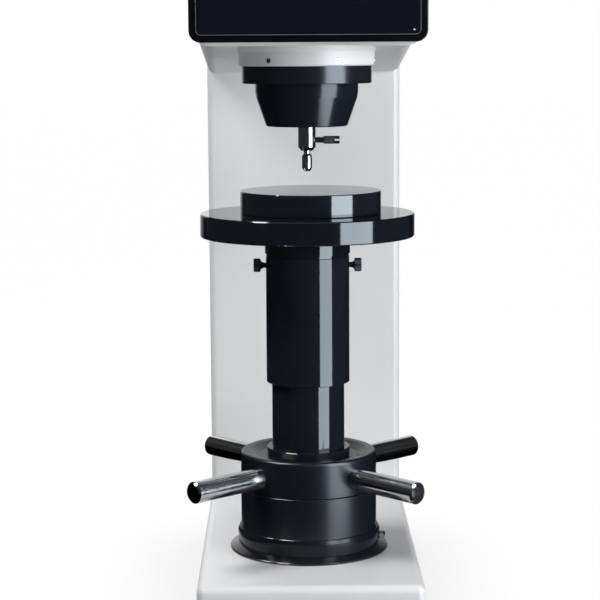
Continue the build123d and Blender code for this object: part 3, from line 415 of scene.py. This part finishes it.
def threaded_rows(low, high, crest, depth, pitch, columns, steps=8, hand=1):
    """Rows of a thread: the radius is the crest less the depth times a flank and a fade.

    The flank is 2 - 5 |p - 0.5| held within 0 and 1, where p is the fraction of z / pitch - hand a / 2 pi.
    The fade grows from 0 at either end to 1 a pitch away. A hand of -1 gives a left-handed thread.
    """
    level = np.linspace(low, high, int((high - low) / pitch * steps) + 1)
    angle = np.arange(columns) / columns
    phase = (level[:, None] / pitch - hand * angle) % 1.0
    flank = np.clip(2.0 - 5.0 * np.abs(phase - 0.5), 0, 1)
    fade = np.clip(np.minimum(level - low, high - level) / pitch, 0, 1)[:, None]
    return (crest - depth * flank * fade) / per_metre, level / per_metre


def stacked(*parts):
    """One set of rows from those of several parts, end to end."""
    return np.vstack([radius for radius, _ in parts]), np.concatenate([level for _, level in parts])


foot_columns = 48
casting_paint = finish("casting_paint", paint_skin, {"Colour": coat_grey, "Gloss": coat_gloss},
                       Specular_IOR_Level=0.35)
dress(casting_paint, "base_casting")
pad_profile = [(14, 0), (20.4, 0), (21, 0.6), (21, 3.6), (20.4, 4.2), (13, 10.6), (11.5, 11), (6, 11.2)]
foot_rows = stacked(turned_rows(pad_profile, foot_columns),
                    threaded_rows(11.4, 45, crest=6, depth=0.9, pitch=1.75, columns=foot_columns))
for corner in ("front_left", "front_right", "rear_left", "rear_right"):
    node = "foot_" + corner
    steel = finish(node + "_steel", lathe_skin,
                   {"Colour": foot_steel, "Axis": axis_of(node), "Gloss": 0.3}, Metallic=1.0)
    ring_stack(node + "_turned", foot_rows, [(axis_of(node), upright)], steel, corner + "_foot", node)
plated = finish("plated_fastener", lathe_skin, {"Colour": foot_steel, "Gloss": 0.25}, Metallic=1.0)
dress(plated, "foot_lock_nuts")


# ---- Column, its rear cover and the mains inlet ----
# Hollow casting bolted on the base, coated as the base is, closed at the rear by a sheet cover
# on six screws. The inlet and its rocker switch are black moulded plastic.
cover_grey = (0.57, 0.575, 0.585, 1)
moulding_black = (0.018, 0.018, 0.020, 1)
shank_radius, shank_chamfer, cover_shank = 2.0, 0.5, 12.0
button_radius, button_rise = 3.6, 2.4
button_socket, button_socket_depth = 2.5, 1.5
button_profile = [(button_radius, 0), (button_radius, 0.5), (3.35, 1.25), (2.75, 1.95), (1.9, 2.35),
                  (1.75, button_rise)]
screw_columns, screws_a_side = 36, 3

dress(casting_paint, "column_casting")
dress(finish("cover_paint", paint_skin,
             {"Colour": cover_grey, "Peel": 1500.0, "Depth": 0.00003, "Gloss": coat_gloss}), "rear_cover")
dress(plated, "frame_bolts")


def socket_rows(across, rim, floor):
    """Walls of a hexagon socket, all in millimetres: half the width over the cosine off the nearest flat."""
    angle = np.arange(screw_columns) * 2 * math.pi / screw_columns
    off_flat = (angle + math.pi / 6) % (math.pi / 3) - math.pi / 6
    edge = across / 2 / per_metre / np.cos(off_flat)
    return np.vstack([edge, edge]), np.array([rim, floor]) / per_metre


def button_screw(shank):
    """Rows of a button head screw with a hexagon socket, from its point to the socket's floor."""
    point = [(shank_radius - shank_chamfer, -shank), (shank_radius, shank_chamfer - shank), (shank_radius, 0)]
    return stacked(turned_rows(point + button_profile, screw_columns),
                   socket_rows(button_socket, button_rise, button_rise - button_socket_depth))


def between(low, high):
    """Middles of a side's screws, with the outer heads' edges at these two places."""
    edge = button_radius / per_metre
    return np.linspace(low + edge, high - edge, screws_a_side)


low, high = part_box("rear_cover_screws")
seat_y = high.y - button_rise / per_metre
columns_x = (low.x + button_radius / per_metre, high.x - button_radius / per_metre)
places = [((x, seat_y, z), (0, 1, 0)) for x in columns_x for z in between(low.z, high.z)]
ring_stack("rear_cover_screws_turned", button_screw(cover_shank), places, plated, "frame",
           "rear_cover_screws")
dress(finish("inlet_moulding", paint_skin,
             {"Colour": moulding_black, "Peel": 2500.0, "Depth": 0.00002, "Gloss": 0.45}), "power_inlet")
dress(finish("switch_moulding", paint_skin,
             {"Colour": moulding_black, "Peel": 1800.0, "Depth": 0.00001, "Gloss": 0.25}), "power_switch")


# ---- Head and its lid ----
# Cast head, bolted on the column and coated as it is, with the nose boss below. The lid is hollow
# below, with a lip inside each side wall that three screws hold.
lid_shank = 11.0

dress(casting_paint, "head_casting", "head_top_cover")
low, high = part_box("top_cover_screws")
middle_z = (low.z + high.z) / 2
sides = ((low.x + button_rise / per_metre, -1), (high.x - button_rise / per_metre, 1))
places = [((x, y, middle_z), (way, 0, 0)) for x, way in sides for y in between(low.y, high.y)]
ring_stack("top_cover_screws_turned", button_screw(lid_shank), places, plated, "frame", "top_cover_screws")


# ---- Display ----
# Black moulded housing on the head's front with a dark glass and a small status light. A thin grey
# trim is pressed in round the glass.
bezel_black = (0.0025, 0.0032, 0.0050, 1)
glass_black = (0.0048, 0.0062, 0.0115, 1)
light_grey = (0.62, 0.64, 0.67, 1)
trim_grey = (0.16, 0.17, 0.20, 1)
trim_width, trim_depth, trim_corner = 0.00038, 0.0012, 0.0036
corner_steps = 9

dress(finish("bezel_moulding", paint_skin,
             {"Colour": bezel_black, "Peel": 900.0, "Depth": 0.00001, "Gloss": 0.20},
             Specular_IOR_Level=0.3), "display_bezel")
dress(finish("screen_glass", paint_skin,
             {"Colour": glass_black, "Peel": 60.0, "Depth": 0.000002, "Gloss": 0.1}), "display_glass")
dress(finish("light_pipe", paint_skin, {"Colour": light_grey, "Gloss": 0.25}), "status_light")

# The trim's section is four (radius, y) corners, each carried round the glass's four rounded
# corners: x = corner x + r cos a, z = corner z + r sin a.
low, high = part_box("display_glass")
quarter = np.linspace(0, math.pi / 2, corner_steps)
turn = np.concatenate([quarter + k * math.pi / 2 for k in range(4)])
left, right = low.x + trim_corner, high.x - trim_corner
bottom, top = low.z + trim_corner, high.z - trim_corner
corner_x = np.repeat([right, left, left, right], corner_steps)
corner_z = np.repeat([top, top, bottom, bottom], corner_steps)
outer = trim_corner + trim_width
section = [(trim_corner, 0), (outer, 0), (outer, trim_depth), (trim_corner, trim_depth)]
loops = [np.stack([corner_x + r * np.cos(turn), np.full(len(turn), low.y + y),
                   corner_z + r * np.sin(turn)], -1) for r, y in section]
index = np.arange(len(section) * len(turn)).reshape(len(section), len(turn))
after, beside = np.roll(index, -1, axis=1), np.roll(index, -1, axis=0)
faces = np.stack([index, beside, np.roll(beside, -1, axis=1), after], -1).reshape(-1, 4)
mesh = bpy.data.meshes.new("display_trim")
mesh.from_pydata(np.concatenate(loops).tolist(), [], faces.tolist())
mesh.materials.append(finish("trim_grey", paint_skin, {"Colour": trim_grey, "Gloss": 0.35}))
trim = bpy.data.objects.new("display_trim", mesh)
bpy.context.scene.collection.objects.link(trim)
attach(trim, "frame")


# ---- Nose ring, cup and bush ----
# Steel ring and cup, turned, blackened and lacquered. Six zinc plated set screws hold the ring in
# the boss, and a brass bush in the cup's floor guides the spindle.
black_steel = (0.0080, 0.0108, 0.0160, 1)
zinc = (0.66, 0.67, 0.69, 1)
brass = (0.72, 0.50, 0.21, 1)
spindle_axis = (0, axis_y, 0)
set_screw_count, first_set_screw = 6, -123.5
set_radius, set_end = 2.5, 63
set_socket, set_socket_depth = 2.4, 2.1

dress(finish("nose_black", lathe_skin,
             {"Colour": black_steel, "Axis": spindle_axis, "Gloss": 0.20, "Depth": 0.000004, "Shift": 0.06},
             Specular_IOR_Level=0.45), "nose_ring")
dress(finish("cup_black", lathe_skin,
             {"Colour": black_steel, "Axis": spindle_axis, "Gloss": 0.17, "Depth": 0.000004, "Shift": 0.06},
             Specular_IOR_Level=0.30), "nose_cup")
set_zinc = finish("set_zinc", lathe_skin, {"Colour": zinc, "Axis": spindle_axis, "Gloss": 0.12}, Metallic=1.0)
set_screw_angles = np.radians(first_set_screw + 360 / set_screw_count * np.arange(set_screw_count))
screw_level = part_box("nose_set_screws")[0].z + set_radius / per_metre
set_profile = [(1.9, 45), (set_radius, 45.6), (set_radius, 62.2), (2.15, 62.9), (1.7, set_end)]
set_rows = stacked(turned_rows(set_profile, screw_columns),
                   socket_rows(set_socket, set_end, set_end - set_socket_depth))
places = [((0, axis_y, screw_level), (math.cos(a), math.sin(a), 0)) for a in set_screw_angles]
ring_stack("nose_set_screws_turned", set_rows, places, set_zinc, "frame", "nose_set_screws")
dress(finish("bush_brass", lathe_skin, {"Colour": brass, "Axis": spindle_axis, "Gloss": 0.3}, Metallic=1.0),
      "spindle_bush")


# ---- Spindle and indenter ----
# Ground and chromed spindle. The indenter's shank sits in its end under a blackened clamping screw
# with a knurled and slotted head.
chrome = (0.78, 0.79, 0.80, 1)
screw_grey = (0.03, 0.03, 0.034, 1)
head_start, knurl_end, head_radius = 15.8, 25.0, 3.67
slot_width, slot_depth, slot_half, slot_over = 1.9, 4.6, 6, 2
clamp_columns = 192

spindle_chrome = finish(
    "spindle_chrome", lathe_skin,
    {"Colour": chrome, "Axis": spindle_axis, "Gloss": 0.09, "Depth": 0.000002, "Shift": 0.04}, Metallic=1.0)
dress(spindle_chrome, "spindle", "indenter", "indenter_ball")
screw_black = finish("screw_black", lathe_skin, {"Colour": screw_grey, "Axis": spindle_axis, "Gloss": 0.32},
                     Metallic=0.7)


def knurled_rows(low, high, radius, depth, teeth, columns, steps=8):
    """Diamond knurl: the radius less the depth times 1 - min(|sin(n a / 2 + k z)|, |sin(n a / 2 - k z)|).

    Here n is the number of teeth, and k is pi over the teeth's pitch, which makes the diamonds square.
    """
    pitch = 2 * math.pi * radius / teeth
    level = np.linspace(low, high, int((high - low) / pitch * steps) + 1)
    angle = np.arange(columns) * 2 * math.pi / columns
    along = math.pi * level[:, None] / pitch
    ridge = np.minimum(np.abs(np.sin(teeth * angle / 2 + along)), np.abs(np.sin(teeth * angle / 2 - along)))
    return (radius - depth * (1 - ridge)) / per_metre, level / per_metre


low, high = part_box("indenter_screw")
clamp_level = (low.z + high.z) / 2
clamp_start, clamp_end = low.x * per_metre, high.x * per_metre
neck = turned_rows([(1.6, clamp_start), (1.9, clamp_start + 0.3), (1.9, 8.55), (2.8, 8.55), (2.65, 10),
                    (2.6, 14.2), (3.0, 15.4), (3.25, head_start)], clamp_columns)
grip = knurled_rows(head_start + 0.2, knurl_end, head_radius, depth=0.22, teeth=24, columns=clamp_columns)
tail = turned_rows([(3.5, knurl_end + 0.2), (3.6, knurl_end + 0.4), (3.6, clamp_end - 0.4),
                    (3.2, clamp_end)], clamp_columns)
clamp = ring_stack("indenter_screw_turned", stacked(neck, grip, tail),
                   [((0, axis_y, clamp_level), (1, 0, 0))], screw_black, "indenter_clamp", "indenter_screw")

# The slot is a box taken out of the head's end, right across it.
slot_x = (clamp_end - slot_depth, clamp_end + slot_over)
slot_y = (axis_y * per_metre - slot_half, axis_y * per_metre + slot_half)
slot_z = (clamp_level * per_metre - slot_width / 2, clamp_level * per_metre + slot_width / 2)
corners = [(x / per_metre, y / per_metre, z / per_metre) for z in slot_z for y in slot_y for x in slot_x]
mesh = bpy.data.meshes.new("slot_cutter")
mesh.from_pydata(corners, [], [(0, 2, 3, 1), (4, 5, 7, 6), (0, 1, 5, 4), (2, 6, 7, 3), (0, 4, 6, 2),
                               (1, 3, 7, 5)])
cutter = bpy.data.objects.new("slot_cutter", mesh)
bpy.context.scene.collection.objects.link(cutter)
cut = clamp.modifiers.new("slot", "BOOLEAN")
cut.operation = "DIFFERENCE"
cut.solver = "EXACT"
cut.object = cutter
slotted = bpy.data.meshes.new_from_object(clamp.evaluated_get(bpy.context.evaluated_depsgraph_get()))
clamp.modifiers.clear()
clamp.data = slotted
bpy.data.objects.remove(cutter)


# ---- Load train inside the head ----
# Motor, toothed belt and ball screw drive a crosshead on two posts, and the load cell below it
# presses on the spindle. Machined aluminium, ground steel, brass and moulded parts.
aluminium = (0.70, 0.71, 0.72, 1)
ground_grey = (0.56, 0.57, 0.58, 1)
post_brass = (0.70, 0.48, 0.20, 1)
belt_black = (0.02, 0.02, 0.021, 1)
motor_black = (0.03, 0.03, 0.032, 1)
board_green = (0.02, 0.12, 0.05, 1)
ball_radius, ball_depth, ball_pitch = 8, 1.1, 5
collar_radius, collar_height, collar_gap, groove_gap, journal_radius = 12, 9.7, 0.3, 10, 6
ball_columns = 64

milled = finish("milled_aluminium", lathe_skin, {"Colour": aluminium, "Axis": spindle_axis, "Gloss": 0.36},
                Metallic=1.0)
dress(milled, "load_cell", "crosshead", "bearing_plate", "large_pulley", "small_pulley", "power_supply")
ground = finish("ground_steel", lathe_skin, {"Colour": ground_grey, "Axis": spindle_axis, "Gloss": 0.22},
                Metallic=1.0)
dress(ground, "guide_posts", "ball_nut", "screw_bearing", "motor_shaft")
low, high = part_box("ball_screw")
collar_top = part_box("bearing_plate")[0].z * per_metre - collar_gap
groove = threaded_rows(low.z * per_metre, collar_top - groove_gap, ball_radius, ball_depth, ball_pitch,
                       ball_columns, steps=10)
journal = turned_rows([(collar_radius, collar_top - collar_height), (collar_radius, collar_top),
                       (journal_radius, collar_top), (journal_radius, high.z * per_metre)], ball_columns)
ring_stack("ball_screw_turned", stacked(groove, journal), [(spindle_axis, upright)], ground, "load_screw",
           "ball_screw")
dress(finish("post_bush_brass", lathe_skin, {"Colour": post_brass, "Gloss": 0.3}, Metallic=1.0),
      "crosshead_bushes")
dress(finish("belt_rubber", paint_skin, {"Colour": belt_black, "Gloss": 0.6, "Depth": 0.00005}),
      "timing_belt")
dress(finish("motor_coat", paint_skin, {"Colour": motor_black, "Gloss": 0.4}), "drive_motor")
dress(finish("board_mask", paint_skin, {"Colour": board_green, "Gloss": 0.3}), "control_board")


# ---- Elevating screw, its housing and the capstan ----
# The housing stands on the base with a rubber skirt round its foot. The capstan hub turns on a
# roller bearing in it and carries the nut, so that four chromed rods raise the screw.
satin_black = (0.0056, 0.0076, 0.0122, 1)
rubber_black = (0.0085, 0.0090, 0.0110, 1)
nut_bronze = (0.62, 0.40, 0.16, 1)
rod_colour = (0.60, 0.61, 0.63, 1)
rod_turn, rod_radius = math.radians(42.5), 0.010
screw_radius, thread_depth, screw_pitch, screw_rings = 25.0, 2.6, 6.0, 144
keyway_half, keyway_floor, spigot_length = 4.0, 21.2, 0.0208
beyond_screw = 99.0

dress(finish("capstan_black", lathe_skin,
             {"Colour": satin_black, "Axis": spindle_axis, "Gloss": 0.29, "Depth": 0.000006, "Shift": 0.08},
             Specular_IOR_Level=0.42), "screw_housing", "capstan_hub")
dress(finish("skirt_rubber", paint_skin,
             {"Colour": rubber_black, "Peel": 1200.0, "Depth": 0.00001, "Gloss": 0.20},
             Specular_IOR_Level=0.5), "housing_skirt")
dress(finish("clamp_band", lathe_skin, {"Colour": satin_black, "Axis": spindle_axis, "Gloss": 0.20},
             Specular_IOR_Level=0.25), "clamp_ring")
dress(plated, "clamp_screw")
dress(ground, "lower_washer", "upper_washer", "thrust_rollers", "guide_key")

# The thread is left-handed. Below the sleeve's spigot it has a keyway with a flat floor, where the
# radius is at most the floor's distance over the sine of the angle. That side faces the tester's
# right, a quarter turn away from the guide key, which therefore cuts into the drawn thread.
low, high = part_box("elevating_screw")
radius, level = threaded_rows(low.z * per_metre, high.z * per_metre, screw_radius, thread_depth, screw_pitch,
                              screw_rings, hand=-1)
turn = np.arange(screw_rings) * 2 * math.pi / screw_rings
across, ahead = np.cos(turn), np.sin(turn)
keyway = np.where((ahead > 0) & (np.abs(across) * screw_radius < keyway_half),
                  keyway_floor / np.maximum(ahead, 0.5), beyond_screw) / per_metre
keyed = level[:, None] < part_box("screw_sleeve")[1].z - spigot_length
radius = np.where(keyed, np.minimum(radius, keyway), radius)
ring_stack("elevating_screw_turned", (radius, level), [(spindle_axis, upright)], ground, "elevating_set",
           "elevating_screw")
dress(finish("nut_bronze", lathe_skin, {"Colour": nut_bronze, "Axis": spindle_axis, "Gloss": 0.32},
             Metallic=1.0), "elevating_nut", "screw_guide")


def bar_marks():
    """Crossed bars turned about their own axes: noise over the distance from the nearer bar's axis gives
    rings on the end faces, and noise drawn out along the bar gives its grinding lines."""
    group, given = skin_group("bar_marks", {
        "Colour": ("Color", (0.5, 0.5, 0.5, 1)), "Axis": ("Vector", (0, 0, 0)), "Turn": ("Float", 0.0),
        "Pitch": ("Float", 900.0), "Depth": ("Float", 0.00001), "Gloss": ("Float", 0.2)})
    join = group.links.new
    place = add(group, "TexCoord")
    off = add(group, "VectorMath", "SUBTRACT")
    turned = add(group, "VectorRotate")
    turned.rotation_type = "Z_AXIS"
    size = add(group, "VectorMath", "ABSOLUTE")
    split = add(group, "SeparateXYZ")
    near = add(group, "Math", "MINIMUM")
    far = add(group, "Math", "MAXIMUM")
    flat = add(group, "CombineXYZ")
    radius = add(group, "VectorMath", "LENGTH")
    drawn = add(group, "Math", "MULTIPLY", second=0.05)
    ring = add(group, "CombineXYZ")
    lines = add(group, "TexNoise")
    along = add(group, "CombineXYZ")
    streaks = add(group, "TexNoise", Scale=420.0)
    tone = add(group, "MapRange", To_Min=0.70, To_Max=1.25)
    worn = add(group, "MapRange", To_Min=-0.05, To_Max=0.07)
    gloss = add(group, "Math", "ADD")
    join(place.outputs["Object"], off.inputs[0])
    join(given.outputs["Axis"], off.inputs[1])
    join(off.outputs[0], turned.inputs["Vector"])
    join(given.outputs["Turn"], turned.inputs["Angle"])
    join(turned.outputs[0], size.inputs[0])
    join(size.outputs[0], split.inputs[0])
    join(split.outputs["X"], near.inputs[0])
    join(split.outputs["Y"], near.inputs[1])
    join(split.outputs["X"], far.inputs[0])
    join(split.outputs["Y"], far.inputs[1])
    join(near.outputs[0], flat.inputs["X"])
    join(split.outputs["Z"], flat.inputs["Y"])
    join(flat.outputs[0], radius.inputs[0])
    join(far.outputs[0], drawn.inputs[0])
    join(radius.outputs["Value"], ring.inputs["X"])
    join(drawn.outputs[0], ring.inputs["Y"])
    join(ring.outputs[0], lines.inputs["Vector"])
    join(given.outputs["Pitch"], lines.inputs["Scale"])
    join(near.outputs[0], along.inputs["X"])
    join(split.outputs["Z"], along.inputs["Y"])
    join(drawn.outputs[0], along.inputs["Z"])
    join(along.outputs[0], streaks.inputs["Vector"])
    join(streaks.outputs["Fac"], tone.inputs["Value"])
    join(streaks.outputs["Fac"], worn.inputs["Value"])
    join(worn.outputs[0], gloss.inputs[0])
    join(given.outputs["Gloss"], gloss.inputs[1])
    return close_skin(group, given, lines, tone, gloss)


rod_axis = (0, axis_y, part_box("capstan_rods")[0].z + rod_radius)
dress(finish("rod_chrome", bar_marks(),
             {"Colour": rod_colour, "Axis": rod_axis, "Turn": -rod_turn, "Pitch": 1400.0, "Depth": 0.00012,
              "Gloss": 0.14}, Metallic=1.0), "capstan_rods")


# ---- Table, sleeve, tube and anvil ----
# Turned steel, blackened and lacquered to a deep gloss. The sleeve hides the screw and is held by
# two thumb screws, the tube stands on the hub and the anvil rests in the table's bore.
table_black = (0.0056, 0.0078, 0.0120, 1)
# The sleeve and tube get a slightly lighter black than the anvil's, painted light that makes up for less
# light reaching them at their height.
tube_black_painted_light = (0.0085, 0.0108, 0.0160, 1)
thumb_start, thumb_end, thumb_radius, thumb_columns = 44.0, 50.5, 6.35, 256


def lacquered(name, colour, specular):
    """Deep gloss lacquer over turned steel, with that specular level."""
    return finish(name, lathe_skin,
                  {"Colour": colour, "Axis": spindle_axis, "Gloss": 0.07, "Depth": 0.000001, "Shift": 0.03},
                  Specular_IOR_Level=specular)


dress(lacquered("table_black", table_black, specular=0.50), "test_table")
dress(lacquered("anvil_black", black_steel, specular=0.68), "anvil")
# Same lacquer as the anvil, with the lighter black that paints in light for the sleeve and tube.
dress(lacquered("tube_black_painted_light", tube_black_painted_light, specular=0.40), "screw_sleeve", "lower_tube")
grip = knurled_rows(thumb_start + 0.3, thumb_end - 0.5, thumb_radius, depth=0.34, teeth=32,
                    columns=thumb_columns)
crown = turned_rows([(5.9, thumb_end - 0.2), (5.5, thumb_end), (3.4, thumb_end), (3.2, thumb_end - 0.3)],
                    thumb_columns)
for side, way in (("left", -1), ("right", 1)):
    node = "sleeve_screw_" + side
    low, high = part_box(node)
    tip = min(abs(low.x), abs(high.x)) * per_metre
    shank = turned_rows([(2.4, tip), (2.9, tip + 0.5), (2.9, 39), (2.5, 39.4), (2.45, 40.6), (2.9, 42.2),
                         (3.6, 43.2), (4.6, 43.8), (5.8, thumb_start)], thumb_columns)
    ring_stack(node + "_turned", stacked(shank, grip, crown),
               [((0, axis_y, (low.z + high.z) / 2), (way, 0, 0))], screw_black, side + "_sleeve_screw", node)
